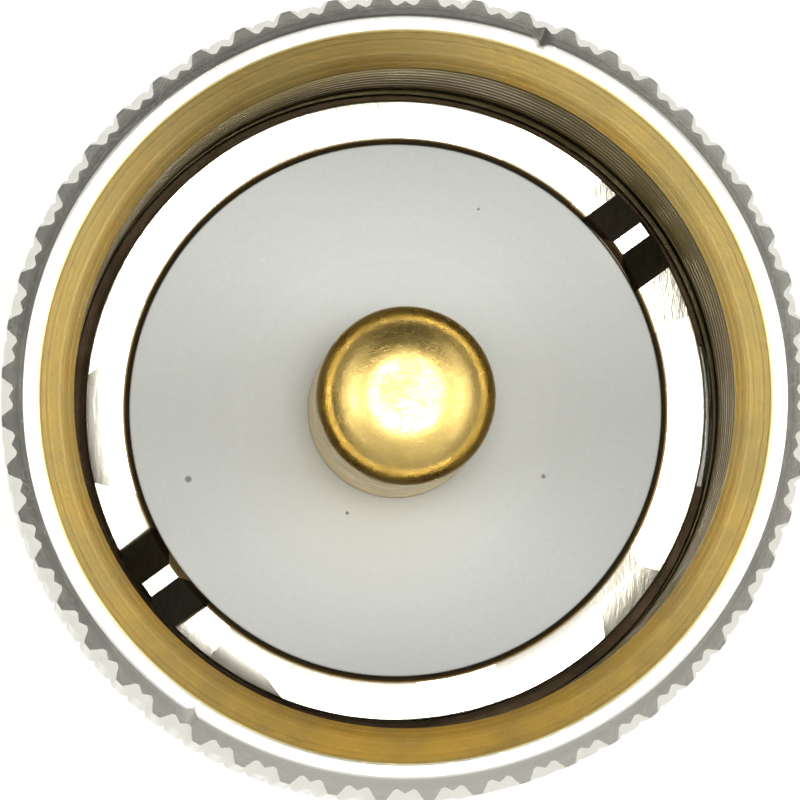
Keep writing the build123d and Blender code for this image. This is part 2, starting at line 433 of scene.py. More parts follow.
@dataclass(frozen=True)
class MilledMetal(Finish):
    """Plated metal cut by straight passes of a milling cutter, with painted shade at its inner edge."""

    dull_colour: str
    # Colour of the painted shade at the inner edge.
    edge_shade_colour: str
    pass_width: float
    grain_depth: float
    lean: float
    # Painted shade at the inner edge: radius where it fades out, fade width and strength.
    edge_shade_radius: float
    edge_shade_width: float = 0.07
    edge_shade_share: float = 0.85
    dull_band: Point = (0.2, 0.55)
    dull_share: float = 0.75
    grain_scale: float = 7.0
    stroke_turn: float = -0.9
    stroke_stretch: float = 0.22

    def look(self, tree: Tree) -> dict[str, object]:
        """Lay straight-edged patches that differ in tint, gloss, lean and grain.

        Args:
            tree: The material's node tree.

        Returns:
            The shader's inputs.
        """
        place = self.millimetres(tree)
        flat = add_node(tree, "ShaderNodeVectorMath", (place, (1.0, 1.0, 0.0)), operation="MULTIPLY")
        patch = add_node(tree, "ShaderNodeTexVoronoi", {"Vector": flat, "Scale": 1 / self.pass_width})
        chance = patch.outputs["Color"]
        dull = add_node(tree, "ShaderNodeSeparateColor", (chance,))
        turn, stretch = (0.0, 0.0, self.stroke_turn), (1.0, self.stroke_stretch, 1.0)
        strokes = {"Vector": flat, "Rotation": turn, "Scale": stretch}
        along = add_node(tree, "ShaderNodeMapping", strokes)
        even = {"Vector": along, "Scale": self.grain_scale, "Detail": 4.0, "Roughness": 0.7}
        noise = add_node(tree, "ShaderNodeTexNoise", even)
        grain = add_node(tree, "ShaderNodeMath", (noise, dull), operation="MULTIPLY")
        shade = add_node(tree, "ShaderNodeMapRange", (grain, *self.dull_band, 0.0, self.dull_share))
        # Painted shade: a brown band at the bore's edge, standing for a bevel that reflects darker things.
        radius = add_node(tree, "ShaderNodeVectorMath", (flat,), operation="LENGTH").outputs["Value"]
        edge = (self.edge_shade_radius, self.edge_shade_radius + self.edge_shade_width)
        edge_shade = add_node(tree, "ShaderNodeMapRange", (radius, *edge, self.edge_shade_share, 0.0))
        colour = self.colour
        for share, over in ((shade, self.dull_colour), (edge_shade, self.edge_shade_colour)):
            inputs = {0: share, 6: colour, 7: over}
            colour = add_node(tree, "ShaderNodeMix", inputs, data_type="RGBA").outputs[2]
        smooth, rough = self.roughness * 0.8, self.roughness * 1.7
        shift = (chance, (self.lean,) * 3, (-self.lean / 2,) * 3)
        lean = add_node(tree, "ShaderNodeVectorMath", shift, operation="MULTIPLY_ADD")
        upright = add_node(tree, "ShaderNodeNewGeometry").outputs["Normal"]
        leaning = add_node(tree, "ShaderNodeVectorMath", (upright, lean), operation="ADD")
        relief = {"Strength": 1.0, "Distance": self.grain_depth * MM, "Height": grain, "Normal": leaning}
        return {
            "Base Color": colour,
            "Metallic": 1.0,
            "Roughness": add_node(tree, "ShaderNodeMapRange", (dull, 0.0, 1.0, smooth, rough)),
            "Normal": add_node(tree, "ShaderNodeBump", relief),
        }


@dataclass(frozen=True)
class Dab:
    """A dab of colour on a face, a real speck or painted light: where it is, how large, its colour, how
    strong, and where it fades.
    """

    place: Point
    radius: float
    colour: str
    core: float = 0.6
    share: float = 0.8


@dataclass(frozen=True)
class TurnedFluoropolymer(Finish):
    """White fluoropolymer faced on a lathe: soft, waxy, with wide tool rings and a few dark specks."""

    low_colour: str
    ring_pitch: float
    ring_depth: float
    face_level: float
    dabs: tuple[Dab, ...]
    ring_wander: float = 0.02
    grain_scale: float = 9.0
    tone_band: Point = (0.45, 1.05)
    index: float = 1.36
    glow_share: float = 0.12
    glow_depth: tuple[float, float, float] = (0.6, 0.55, 0.5)

    def look(self, tree: Tree) -> dict[str, object]:
        """Lay tool rings, fine grain and the dabs: specks, and first a painted warm reflection and shade
        round the pin.

        Args:
            tree: The material's node tree.

        Returns:
            The shader's inputs.
        """
        place = self.millimetres(tree)
        rings = self.lathe_lines(tree, place, self.ring_pitch, self.ring_wander)
        even = {"Vector": place, "Scale": self.grain_scale, "Detail": 4.0, "Roughness": 0.7}
        grain = add_node(tree, "ShaderNodeTexNoise", even)
        shade = add_node(tree, "ShaderNodeMath", (rings, 0.5, grain), operation="MULTIPLY_ADD")
        tone = add_node(tree, "ShaderNodeMapRange", (shade, *self.tone_band, 0.0, 1.0))
        face = {0: tone, 6: self.low_colour, 7: self.colour}
        colour = add_node(tree, "ShaderNodeMix", face, data_type="RGBA").outputs[2]
        for dab in self.dabs:
            middle = (*dab.place, self.face_level)
            away = add_node(tree, "ShaderNodeVectorMath", (place, middle), operation="DISTANCE")
            fade = (away.outputs["Value"], dab.radius * dab.core, dab.radius, dab.share, 0.0)
            inputs = {0: add_node(tree, "ShaderNodeMapRange", fade), 6: colour, 7: dab.colour}
            colour = add_node(tree, "ShaderNodeMix", inputs, data_type="RGBA").outputs[2]
        relief = {"Strength": 1.0, "Distance": self.ring_depth * MM, "Height": rings}
        return {
            "Base Color": colour,
            "Roughness": self.roughness,
            "IOR": self.index,
            "Subsurface Weight": self.glow_share,
            "Subsurface Radius": tuple(depth * MM for depth in self.glow_depth),
            "Subsurface Scale": 1.0,
            "Normal": add_node(tree, "ShaderNodeBump", relief),
        }


@dataclass(frozen=True)
class MouldedRubber(Finish):
    """Black rubber, moulded, with a dry bloom on it."""

    bloom: str
    bloom_scale: float = 1.2
    grain_scale: float = 14.0
    grain_depth: float = 0.006
    index: float = 1.52

    def look(self, tree: Tree) -> dict[str, object]:
        """Lay a grey bloom and a fine grain over near black.

        Args:
            tree: The material's node tree.

        Returns:
            The shader's inputs.
        """
        place = self.millimetres(tree)
        dust = {"Vector": place, "Scale": self.bloom_scale, "Detail": 6.0}
        bloomy = {0: add_node(tree, "ShaderNodeTexNoise", dust), 6: self.colour, 7: self.bloom}
        fine = {"Vector": place, "Scale": self.grain_scale, "Detail": 3.0}
        grain = add_node(tree, "ShaderNodeTexNoise", fine)
        relief = {"Strength": 1.0, "Distance": self.grain_depth * MM, "Height": grain}
        return {
            "Base Color": add_node(tree, "ShaderNodeMix", bloomy, data_type="RGBA").outputs[2],
            "Roughness": self.roughness,
            "IOR": self.index,
            "Normal": add_node(tree, "ShaderNodeBump", relief),
        }


@dataclass(frozen=True)
class GlowingPaper(Finish):
    """White paper on the studio's table, with a painted glow of its own that is strongest where the plug
    stands.
    """

    fibre: str
    near_glow: float
    far_glow: float
    glow_reach: Point
    fibre_scale: float = 0.8
    index: float = 1.5

    def look(self, tree: Tree) -> dict[str, object]:
        """Lay faint fibres, and a painted glow that fades away from the plug.

        Args:
            tree: The material's node tree.

        Returns:
            The shader's inputs.
        """
        place = self.millimetres(tree)
        away = add_node(tree, "ShaderNodeVectorMath", (place,), operation="LENGTH").outputs["Value"]
        glow = (away, *self.glow_reach, self.near_glow, self.far_glow)
        fine = {"Vector": place, "Scale": self.fibre_scale, "Detail": 6.0}
        fibrous = {0: add_node(tree, "ShaderNodeTexNoise", fine), 6: self.colour, 7: self.fibre}
        return {
            "Base Color": add_node(tree, "ShaderNodeMix", fibrous, data_type="RGBA").outputs[2],
            "Roughness": self.roughness,
            "IOR": self.index,
            # Painted light: the paper glows of itself, brightest near the plug and fading away from it.
            "Emission Color": (1.0, 1.0, 1.0, 1.0),
            "Emission Strength": add_node(tree, "ShaderNodeMapRange", glow),
        }


# Bright nickel plate over turned brass: a warm grey mirror, softened along the tool's rings.
BRIGHT_NICKEL = TurnedMetal(
    name="nickel_plate_on_turned_brass",
    colour="E3E1D8",
    roughness=0.2,
    tarnish="B9B4A2",
    line_pitch=0.07,
    line_depth=0.0012,
    tarnish_share=0.2,
    scratch_depth=0.0005,
)
# Nickel plate over milled brass: straight passes of the cutter, so its faces flash in patches.
MILLED_NICKEL = MilledMetal(
    name="nickel_plate_on_milled_brass",
    colour="D9D5CA",
    roughness=0.17,
    dull_colour="B5AE98",
    # Brown painted shade at the bore's edge.
    edge_shade_colour="806C44",
    pass_width=3.2,
    grain_depth=0.012,
    lean=0.15,
    edge_shade_radius=6.2,
)
# Bare brass as the threading tool left it: pale yellow with bright rings, with painted shade further in and
# at one side of the mouth.
CUT_BRASS = ThreadedBrass(
    name="bare_threaded_brass",
    colour="F9E8A6",
    roughness=0.34,
    tarnish="D0BC7C",
    line_pitch=0.09,
    line_depth=0.009,
    tarnish_share=0.6,
    shade_start_level=solid_high("coupling_nut") - 0.8,
    # Near-black painted shade deep in the thread.
    depth_shade="3C3121",
    depth_shade_share=0.88,
)
# Satin gold plate over turned brass: soft yellow with a fine grain, hardly any rings.
SATIN_GOLD = TurnedMetal(
    name="satin_gold_plate",
    colour="E9C878",
    roughness=0.25,
    tarnish="B49E5C",
    line_pitch=0.09,
    line_depth=0.0009,
    tarnish_share=0.6,
    cloud_size=0.9,
    grain_depth=0.0045,
)
# Turned fluoropolymer: white and waxy, with the rings of the facing cut.
WHITE_FLUOROPOLYMER = TurnedFluoropolymer(
    name="turned_white_fluoropolymer",
    colour="F9FCF6",
    low_colour="EFF3EC",
    roughness=0.42,
    ring_pitch=0.35,
    ring_depth=0.003,
    face_level=solid_high("front_insulator"),
    dabs=(
        # Painted warm reflection and shade of the gold pin, round the pin and towards its lower left; the
        # rest are specks.
        Dab((-0.5, -1.2), 3.2, "EAE5D0", core=0.1),
        Dab((-3.03, 3.44), 0.07, "FFFFFF"),
        Dab((-4.73, -1.58), 0.09, "7A7365"),
        Dab((3.38, -1.51), 0.06, "837A68"),
        Dab((-1.1, -2.35), 0.05, "6B6455"),
        Dab((1.9, 4.6), 0.04, "8D8676"),
    ),
)
# Rolled spring bronze, gone dark: brown, with drawn lines round the ring.
SPRING_BRONZE = TurnedMetal(
    name="rolled_spring_bronze",
    colour="4E4030",
    roughness=0.42,
    tarnish="352B20",
    line_pitch=0.12,
    line_depth=0.001,
)
# Bare turned brass of the hidden clamp pieces: a deeper yellow, with brown tarnish.
BARE_BRASS = TurnedMetal(
    name="bare_turned_brass",
    colour="DDBB72",
    roughness=0.3,
    tarnish="9C7A3E",
    line_pitch=0.1,
    line_depth=0.002,
)
# Moulded rubber: black and dry.
BLACK_RUBBER = MouldedRubber(
    name="moulded_black_rubber", colour="131313", roughness=0.72, bloom="2E2D2B"
)
# Paper on the table: nearly white, with a painted glow that is strongest near the plug.
TABLE_PAPER = GlowingPaper(
    name="white_table_paper",
    colour="DCDCDA",
    roughness=0.9,
    fibre="E6E6E4",
    near_glow=0.36,
    far_glow=0.06,
    # Painted glow: strength near the plug, far from it, and the distances over which it fades.
    glow_reach=(15.0, 33.0),
)


@dataclass
class Piece:
    """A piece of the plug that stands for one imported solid."""

    node: str = ""
    body: Body = Body.PLUG
    slot: Slot = Slot.NICKEL
    finishes: tuple[Finish, ...] = ()
    segments: int = 256
    ease: float = 0.06
    crease: float = 28.0

    def bottom(self) -> float:
        """The solid's lowest level."""
        return solid_low(self.node)

    def top(self) -> float:
        """The solid's highest level."""
        return solid_high(self.node)

    def reach(self) -> float:
        """The solid's largest radius."""
        return solid_reach(self.node)

    def corners(self) -> Profile:
        """Corners of the half section, where it is the same all round."""
        raise NotImplementedError

    def outline(self, angle: float) -> Profile:
        """Corners of the half section at an angle."""
        return self.corners()

    def section(self, angle: float) -> Profile:
        """The half section at an angle, with its corners rounded."""
        return eased(self.outline(angle), self.ease)

    def band(self, bore: float) -> Profile:
        """Corners of the half section of a plain ring with a bore."""
        low, high = self.bottom(), self.top()
        return [(bore, low), (self.reach(), low), (self.reach(), high), (bore, high)]

    def angles(self) -> list[float]:
        """The angles at which the half section is taken."""
        return full_turn(self.segments)

    def build(self) -> Thing:
        """Turn the half section about the axis.

        Returns:
            The object.
        """
        mesh = bmesh.new()
        add_sweep(mesh, self.section, self.angles())
        return as_object(mesh, f"{self.node}_piece")

    def make(self) -> Thing:
        """Build the piece, dress it and set it on its body.

        Returns:
            The finished object.
        """
        thing = self.build()
        for finish in self.finishes:
            thing.data.materials.append(finish.material())
        thing.data.shade_smooth()
        thing.data.set_sharp_from_angle(angle=radians(self.crease))
        weight = thing.modifiers.new("even_shading", "WEIGHTED_NORMAL")
        weight.keep_sharp = True
        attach(thing, self.body.value)
        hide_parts(self.node)
        log.info("%s: %d faces", thing.name, len(thing.data.polygons))
        return thing


@dataclass
class CouplingNut(Piece):
    """The knurled nut: crossed knurl outside, coupling thread, relief and ring groove inside."""

    teeth: int = 52
    columns_a_tooth: int = 12
    knurl_angle: float = 30.0
    knurl_depth: float = 0.3
    crest_cut: float = 0.14
    knurl_start: float = 0.6
    bevel_halvings: int = 22
    rim_radius: float = 8.5
    rim_crown: float = 0.016
    rim_ease: float = 0.04
    seam_inset: float = 0.09
    mouth_radius: float = 8.15
    mouth_step: Point = (0.12, 0.135)
    throat_step: Point = (0.25, 0.27)
    mouth_ease: float = 0.03
    crest_radius: float = 7.375
    root_radius: float = 7.9375
    pitch: float = 25.4 / 24
    thread_crest: float = 0.25
    thread_flank: float = 0.3125
    run_out: float = 0.9
    collar_length: float = 2.4
    collar_break: float = 0.3
    collar_ease: float = 0.06
    rear_break: float = 0.08
    rear_ease: float = 0.05
    relief_depth: float = 0.6
    relief_length: float = 1.3
    lip_length: float = 0.8
    slot_fit: float = 0.06
    slot_room: float = 0.1
    strip: float = 0.05
    nick_angles: Point = (69.0, 236.0)
    nick_depth: float = 0.13
    nick_width: float = 0.012
    flat_enough: float = 2e-6

    def row_height(self) -> float:
        """Half the length of a knurl diamond along the axis."""
        return pi * self.reach() / self.teeth / tan(radians(self.knurl_angle))

    def knurl_radius(self, angle: float, level: float) -> float:
        """Work out the knurled surface, before its ends are bevelled.

        Args:
            angle: Place round the nut.
            level: Place along the axis.

        Returns:
            The radius there.
        """
        across = angle * self.teeth / pi - 1
        along = (level - self.top() + self.knurl_start) / self.row_height()
        rising, falling = (across + along) / 2, (across - along) / 2
        from_crest = 2 * max(abs(rising - round(rising)), abs(falling - round(falling)))
        height = (self.knurl_depth + self.crest_cut) * (1 - from_crest)
        return self.reach() - self.knurl_depth + min(self.knurl_depth, height)

    def bevel_end(self, angle: float, start: float, away: float) -> float:
        """Find the level at which the knurl comes out of a bevel of 45 degrees.

        Args:
            angle: Place round the nut.
            start: Level at which the bevel leaves the rim or the collar.
            away: One for a bevel that rises from there, minus one for one that falls.

        Returns:
            The level.
        """
        near, far = 0.0, self.reach() - self.rim_radius + 0.01
        for _ in range(self.bevel_halvings):
            middle = (near + far) / 2
            if self.knurl_radius(angle, start + away * middle) > self.rim_radius + middle:
                near = middle
            else:
                far = middle
        return start + away * near

    def nick(self, angle: float) -> float:
        """How deep the rim's edge is knocked in at an angle."""
        shares = [exp(-((angle - radians(place)) / self.nick_width) ** 2) for place in self.nick_angles]
        return sum(self.nick_depth * share for share in shares)

    def outer(self, angle: float) -> Profile:
        """Draw the outside at an angle, from the middle of the rim to the middle of the rear face.

        Args:
            angle: Place round the nut.

        Returns:
            The half section there.
        """
        top, bottom = self.top(), self.bottom()
        collar = bottom + self.collar_length
        first = top - self.knurl_start
        fine = self.row_height() / (self.columns_a_tooth / 2)
        rows = int((first - collar - (self.reach() - self.rim_radius)) / fine)
        last = first - rows * fine
        upper = self.bevel_end(angle, top, -1.0)
        lower = self.bevel_end(angle, collar, 1.0)
        rim = [
            (self.mouth_radius + self.seam_inset + self.strip, top),
            (self.rim_radius - self.nick(angle), top - self.rim_crown),
            (self.rim_radius + top - upper, upper),
        ]
        levels = [upper + (first - upper) * share / 4 for share in (1, 2, 3)]
        levels += [first - row * fine for row in range(rows + 1)]
        levels += [last + (lower - last) * share / 3 for share in (1, 2)]
        rear = [
            (self.rim_radius + lower - collar, lower),
            (self.rim_radius, collar),
            (self.rim_radius, bottom + self.collar_break),
            (self.rim_radius - self.collar_break, bottom),
            (self.rear_middle() + self.strip, bottom),
        ]
        return (
            eased(rim, self.rim_ease, closed=False)
            + [(self.knurl_radius(angle, level), level) for level in levels]
            + eased(rear, self.collar_ease, closed=False)
        )

    def rear_middle(self) -> float:
        """Radius at which the outer and the inner skin meet on the rear face."""
        return (self.rim_radius + self.crest_radius) / 2

    def thread_height(self, phase: float) -> float:
        """How deep the thread is at a share of the pitch, from zero at the crest to one at the root."""
        flank = min(phase - self.thread_crest, 1.0 - phase) / self.thread_flank
        return max(0.0, min(1.0, flank))

    def thread(self, angle: float, low: float, high: float) -> Profile:
        """Draw the coupling thread at an angle, from its upper end to its lower, run out at both.

        Args:
            angle: Place round the nut, from zero to a full turn.
            low: Level of the lower end.
            high: Level of the upper end.

        Returns:
            The half section there. Rows past an end lie on it, where the weld joins them.
        """
        crest, flank = self.thread_crest, self.thread_flank
        phases = (0.0, crest, crest + flank / 2, crest + flank, 1 - flank, 1 - flank / 2)
        turns = int((high - low) / self.pitch) + 2
        start = low + (angle / (2 * pi) - 1) * self.pitch
        points = []
        for turn in range(turns, -1, -1):
            for phase in reversed(phases):
                level = min(max(start + (turn + phase) * self.pitch, low), high)
                deep = min(1.0, (high - level) / self.run_out, (level - low) / self.run_out)
                depth = self.thread_height(phase) * deep * (self.root_radius - self.crest_radius)
                points.append((self.crest_radius + depth, level))
        return points

    def inner(self, angle: float) -> Profile:
        """Draw the inside at an angle, from the middle of the rim to the middle of the rear face.

        Args:
            angle: Place round the nut.

        Returns:
            The half section there.
        """
        top, bottom, crest = self.top(), self.bottom(), self.crest_radius
        slot = solid_low("snap_ring") - self.slot_fit
        slot_end = solid_high("snap_ring") + self.slot_fit
        slot_radius = solid_reach("snap_ring") + self.slot_room
        relief = slot_end + self.lip_length
        relief_end = relief + self.relief_length
        thread_low = relief_end + self.relief_depth
        thread_high = top - (self.mouth_radius - crest)
        mouth = [
            (self.mouth_radius + self.seam_inset - self.strip, top),
            (self.mouth_radius, top - self.rim_crown),
            (self.mouth_radius - self.mouth_step[0], top - self.mouth_step[1]),
            (crest + self.throat_step[0], thread_high + self.throat_step[1]),
            (crest, thread_high),
        ]
        rear = [
            (crest, thread_low),
            (crest + self.relief_depth, relief_end),
            (crest + self.relief_depth, relief),
            (crest, relief),
            (crest, slot_end),
            (slot_radius, slot_end),
            (slot_radius, slot),
            (crest, slot),
            (crest, bottom + self.rear_break),
            (crest + self.rear_break, bottom),
            (self.rear_middle() - self.strip, bottom),
        ]
        return (
            eased(mouth, self.mouth_ease, closed=False)
            + self.thread(angle, thread_low, thread_high)
            + eased(rear, self.rear_ease, closed=False, steps=2)
        )

    def build(self) -> Thing:
        """Make the nut as one closed mesh.

        Returns:
            The object, with plate as its first material and cut brass as its second.
        """
        mesh = bmesh.new()
        columns = self.teeth * self.columns_a_tooth
        outside = add_sweep(mesh, self.outer, full_turn(columns), closed=False)
        inside = add_sweep(mesh, self.inner, full_turn(columns // 2), closed=False, material=1)
        for turn in range(columns // 2):
            for row in (0, -1):
                near = [outside[2 * turn + step][row] for step in (0, 1, 2)]
                mesh.faces.new(near + [inside[turn + 1][row], inside[turn][row]])
        plated_level = (self.top() - 0.002) * MM
        for face in mesh.faces:
            if face.calc_center_median().z > plated_level:
                face.material_index = 0
        self.split_along_creases(mesh)
        return as_object(mesh, f"{self.node}_piece")

    def split_along_creases(self, mesh: bmesh.types.BMesh) -> None:
        """Split each bent four-sided face across the corners that lie at more even radii.

        Args:
            mesh: The nut's mesh.
        """
        for face in [f for f in mesh.faces if len(f.verts) == 4 and f.material_index == 0]:
            corners = list(face.verts)
            radii = [corner.co.xy.length for corner in corners]
            first = abs(radii[0] - radii[2]) <= abs(radii[1] - radii[3])
            pair = (corners[0], corners[2]) if first else (corners[1], corners[3])
            if max(radii) - min(radii) > self.flat_enough:
                bmesh.utils.face_split(face, *pair)


@dataclass
class PlugBody(Piece):
    """The body: mating ring with its two teeth, groove for the snap ring, sleeve with wrench flats."""

    ring_radius: float = 7.1
    ring_bore_radius: float = 6.1
    tooth_height: float = 0.7
    tooth_angle: float = 36.0
    tooth_base_width: float = 2.05
    tooth_tip_width: float = 0.36
    tooth_inner_inset: float = 0.17
    tooth_outer_inset: float = 0.08
    tooth_root: float = 0.1
    milled_depth: float = 0.15
    flat_depth: float = 0.5
    flat_length: float = 6.0
    chamber_radius: float = 6.2
    thread_radius: float = 6.53
    tail_bore_radius: float = 4.6
    flange_bore_radius: float = 5.25
    flange_wall: float = 0.2
    groove_radius: float = 6.0
    face_depth: float = 2.0
    groove_fit: float = 0.05
    play: float = 0.8
    nut_gap: float = 0.3
    edge_break: float = 0.3
    bore_break: float = 0.09

    def face_level(self) -> float:
        """Level of the mating face."""
        return self.top() - self.tooth_height

    def flat_half_angle(self) -> float:
        """Half the angle that a wrench flat takes of the sleeve."""
        return acos((self.reach() - self.flat_depth) / self.reach())

    def angles(self) -> list[float]:
        """Even angles, and those at which a wrench flat starts and ends."""
        half, middles = self.flat_half_angle(), (pi / 2, 3 * pi / 2)
        return full_turn(self.segments, [middle + side * half for middle in middles for side in (-1, 1)])

    def outline(self, angle: float) -> Profile:
        """Draw the body's half section, which at a wrench flat steps in to the flat.

        Args:
            angle: Place round the body.

        Returns:
            The corners.
        """
        sleeve, edge = self.reach(), self.edge_break
        rear, face = self.bottom(), self.face_level()
        step = face - self.face_depth
        groove = solid_low("snap_ring") - self.groove_fit
        groove_end = solid_high("snap_ring") + self.play + self.groove_fit
        shoulder = solid_low("coupling_nut") - self.nut_gap
        flange = solid_low("rear_insulator")
        flange_end = shoulder - self.flange_wall
        washer = solid_high("washer")
        middle = (rear + shoulder) / 2
        low, high = middle - self.flat_length / 2, middle + self.flat_length / 2
        away = abs(abs(angle - pi) - pi / 2)
        flat = (sleeve - self.flat_depth) / cos(away) if away < self.flat_half_angle() else sleeve
        return [
            (self.thread_radius + edge, rear),
            (sleeve - edge, rear),
            (sleeve, rear + edge),
            (sleeve, low),
            (flat, low),
            (flat, high),
            (sleeve, high),
            (sleeve, shoulder - edge),
            (sleeve - edge, shoulder),
            (self.ring_radius, shoulder),
            (self.ring_radius, groove),
            (self.groove_radius, groove),
            (self.groove_radius, groove_end),
            (self.ring_radius, groove_end),
            (self.ring_radius, face),
            (self.ring_bore_radius + self.bore_break, face),
            (self.ring_bore_radius, face - self.bore_break),
            (self.ring_bore_radius, step),
            (self.tail_bore_radius, step),
            (self.tail_bore_radius, flange_end),
            (self.flange_bore_radius, flange_end),
            (self.flange_bore_radius, flange),
            (self.chamber_radius, flange - (self.chamber_radius - self.flange_bore_radius)),
            (self.chamber_radius, washer),
            (self.thread_radius, washer - (self.thread_radius - self.chamber_radius)),
            (self.thread_radius, rear + edge),
        ]

    def tooth(self, angle: float) -> Thing:
        """Make one tooth, a wedge across the ring that narrows to its tip, cut to the ring's width.

        Args:
            angle: Place of its middle round the ring, in radians.

        Returns:
            The tooth's object.
        """
        inner, outer = self.ring_bore_radius, self.ring_radius
        middle, width, root = (inner + outer) / 2, outer - inner, self.tooth_root
        face, top = self.face_level(), self.top()
        base, tip = self.tooth_base_width / 2, self.tooth_tip_width / 2
        layers = [
            (face - root, middle - width, middle + width, base),
            (face, middle - width, middle + width, base),
            (top, inner + self.tooth_inner_inset, outer - self.tooth_outer_inset, tip),
        ]
        mesh = bmesh.new()
        turn = Matrix.Rotation(angle, 3, "Z")
        rings = []
        for level, near, far, half in layers:
            corners = [(near, -half), (far, -half), (far, half), (near, half)]
            rings.append([mesh.verts.new(turn @ Vector((x * MM, y * MM, level * MM))) for x, y in corners])
        for lower, upper in zip(rings, rings[1:]):
            for side in range(4):
                other = (side + 1) % 4
                mesh.faces.new((lower[side], lower[other], upper[other], upper[side]))
        mesh.faces.new(rings[0])
        mesh.faces.new(rings[-1])
        wedge = as_object(mesh, "tooth_wedge")
        mesh = bmesh.new()
        low, high = face - 2 * root, top + root
        band = [(inner, low), (outer, low), (outer, high), (inner, high)]
        add_sweep(mesh, lambda _: band, full_turn(self.segments))
        carve(wedge, as_object(mesh, "tooth_band"), Carve.KEEP_COMMON)
        return wedge

    def build(self) -> Thing:
        """Make the turned body and add its teeth.

        Returns:
            The object, with turned plate as its first material and milled plate as its second.
        """
        thing = super().build()
        for turn in range(2):
            carve(thing, self.tooth(radians(self.tooth_angle) + pi * turn), Carve.ADD)
        milled_level = (self.face_level() - self.milled_depth) * MM
        for face in thing.data.polygons:
            face.material_index = int(face.center.z > milled_level)
        return thing


@dataclass
class FrontInsulator(Piece):
    """The white disc with its tail, whose face fills the mating ring."""

    tail_radius: float = 4.5
    pin_radius: float = 2.005
    waist_radius: float = 1.82
    flange_length: float = 2.1
    seat_depth: float = 0.15
    bore_fit: float = 0.02

    def corners(self) -> Profile:
        """Draw the insulator's half section, whose disc swells to the ring's bore.

        Returns:
            The corners.
        """
        low, top = self.bottom(), self.top()
        step, seat = top - self.flange_length, top - self.seat_depth
        disc = PlugBody.ring_bore_radius - self.bore_fit
        return [
            (self.waist_radius, low),
            (self.tail_radius, low),
            (self.tail_radius, step),
            (disc, step),
            (disc, top),
            (self.pin_radius, top),
            (self.pin_radius, seat),
            (self.waist_radius, seat),
        ]

    def section(self, angle: float) -> Profile:
        """The half section, rounded outside and sharp in the two corners where the pin comes through."""
        corners = self.corners()
        return eased(corners[:-2], self.ease, closed=False) + corners[-2:]


@dataclass
class CentreContact(Piece):
    """The pin with its rounded nose, waist, flange and solder cup."""

    ease: float = 0.05
    pin_radius: float = 2.0
    nose_flat_radius: float = 0.775
    nose_steps: int = 18
    waist_radius: float = 1.8
    flange_length: float = 1.0
    cup_radius: float = 1.8
    cup_bore_radius: float = 1.3
    cup_depth: float = 5.0
    hole_radius: float = 0.6
    hole_length: float = 2.4
    hole_segments: int = 48

    def corners(self) -> Profile:
        """Draw the contact's half section, with the nose as a run of short steps.

        Returns:
            The corners.
        """
        cup, tip = self.bottom(), self.top()
        flange = solid_low("front_insulator")
        flange_rear = flange - self.flange_length
        seat = solid_high("front_insulator") - FrontInsulator.seat_depth
        flat, nose = self.nose_flat_radius, self.pin_radius - self.nose_flat_radius
        turns = [pi / 2 * step / self.nose_steps for step in range(self.nose_steps + 1)]
        return [
            (0.0, cup + self.cup_depth),
            (self.cup_bore_radius, cup + self.cup_depth),
            (self.cup_bore_radius, cup),
            (self.cup_radius, cup),
            (self.cup_radius, flange_rear),
            (self.reach(), flange_rear),
            (self.reach(), flange),
            (self.waist_radius, flange),
            (self.waist_radius, seat),
            (self.pin_radius, seat),
            *[(flat + nose * cos(turn), tip - nose + nose * sin(turn)) for turn in turns],
            (0.0, tip),
        ]

    def section(self, angle: float) -> Profile:
        """The half section, rounded up to where the nose starts, which is left as it is."""
        corners, rest = self.corners(), self.nose_steps + 1
        return eased(corners[:-rest], self.ease, closed=False) + corners[-rest:]

    def build(self) -> Thing:
        """Make the turned contact and drill the solder hole into its cup.

        Returns:
            The object.
        """
        thing = super().build()
        mesh = bmesh.new()
        wide, long = self.hole_radius, self.hole_length
        drill = [(0.0, 0.0), (wide, 0.0), (wide, long), (0.0, long)]
        add_sweep(mesh, lambda _: drill, full_turn(self.hole_segments))
        level = (self.bottom() + self.cup_depth / 2) * MM
        place = Matrix.Translation((0, 0, level)) @ Matrix.Rotation(pi / 2, 4, "Y")
        bmesh.ops.transform(mesh, matrix=place, verts=mesh.verts)
        carve(thing, as_object(mesh, "solder_hole"), Carve.CUT)
        return thing


@dataclass
class RearInsulator(Piece):
    """The flanged bush that holds the contact from behind."""

    bore_radius: float = 1.85
    tail_radius: float = 4.5
    flange_length: float = 1.5

    def corners(self) -> Profile:
        """Draw the bush's half section.

        Returns:
            The corners.
        """
        low, top, reach = self.bottom(), self.top(), self.reach()
        step = low + self.flange_length
        flange = [(self.bore_radius, low), (reach, low), (reach, step)]
        return flange + [(self.tail_radius, step), (self.tail_radius, top), (self.bore_radius, top)]


@dataclass
class SnapRing(Piece):
    """The split spring ring in the grooves of body and nut."""

    width: float = 1.05
    opening: float = 3.2

    def corners(self) -> Profile:
        """Corners of the ring's half section."""
        return self.band(self.reach() - self.width)

    def build(self) -> Thing:
        """Sweep the ring from one side of its opening to the other and close both ends.

        Returns:
            The object.
        """
        half = asin(self.opening / 2 / (self.reach() - self.width / 2))
        angles = [half + (2 * pi - 2 * half) * step / self.segments for step in range(self.segments + 1)]
        mesh = bmesh.new()
        columns = add_sweep(mesh, self.section, angles)
        mesh.faces.new(columns[0])
        mesh.faces.new(columns[-1])
        return as_object(mesh, f"{self.node}_piece")


